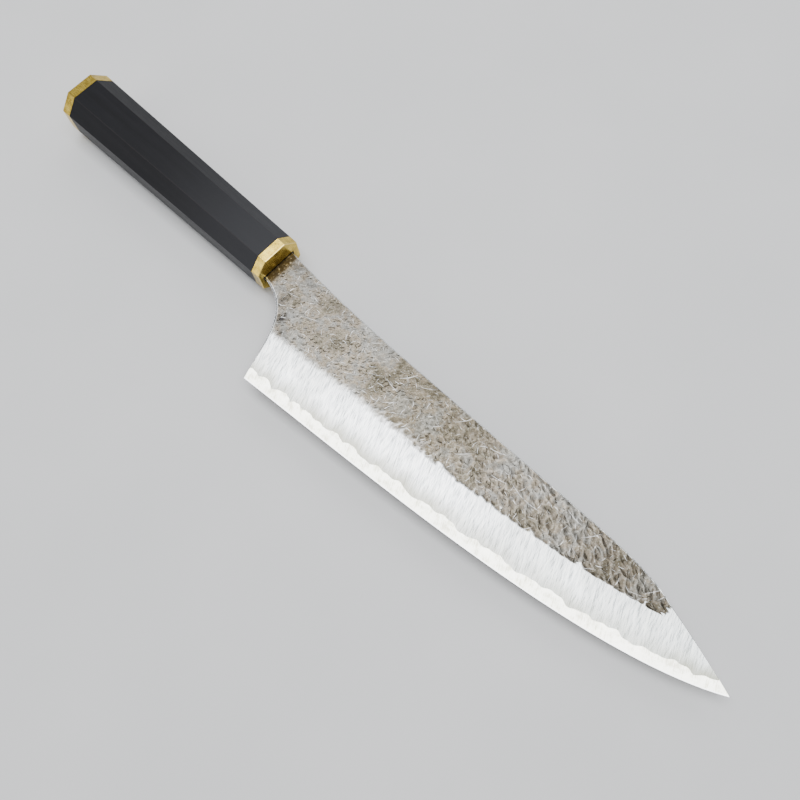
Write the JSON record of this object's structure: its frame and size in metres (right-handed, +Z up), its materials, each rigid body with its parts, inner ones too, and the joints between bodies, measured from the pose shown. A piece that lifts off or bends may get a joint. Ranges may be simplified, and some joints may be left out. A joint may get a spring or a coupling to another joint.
{
  "type": "chef knife",
  "caption": "Chef knife: hammered three-layer blade with a bright core band along the edge, octagonal black wood handle, brass ferrule and butt cap.",
  "frame": {"origin": "on the surface that the knife lies on, under the middle of its bounding box", "axes": "+X from the handle to the blade tip, +Y towards the spine (the cutting edge faces -Y), +Z up, away from the surface; the knife lies on the bottom flat of its handle"},
  "size_m": [0.3598, 0.0572, 0.0231],
  "materials": {
    "core_steel": "bright polished hard steel, faint fine scratches",
    "cladding_steel": "hammered and tinted above, satin ground bevel below",
    "brass": "satin polished, slightly worn",
    "ebony": "oiled satin black hardwood",
    "dowel_wood": "plain sawn hardwood",
    "sealant": "set dark sealant"
  },
  "bodies": {
    "root": {"blade_core": "core_steel", "cladding_upper": "cladding_steel", "cladding_lower": "cladding_steel", "ferrule": "brass", "slot_seal": "sealant", "handle_body": "ebony", "core_dowel": "dowel_wood", "butt_cap": "brass", "ferrule_pin_1": "brass", "ferrule_pin_2": "brass", "cap_pin_1": "brass", "cap_pin_2": "brass"}
  },
  "joints": []
}
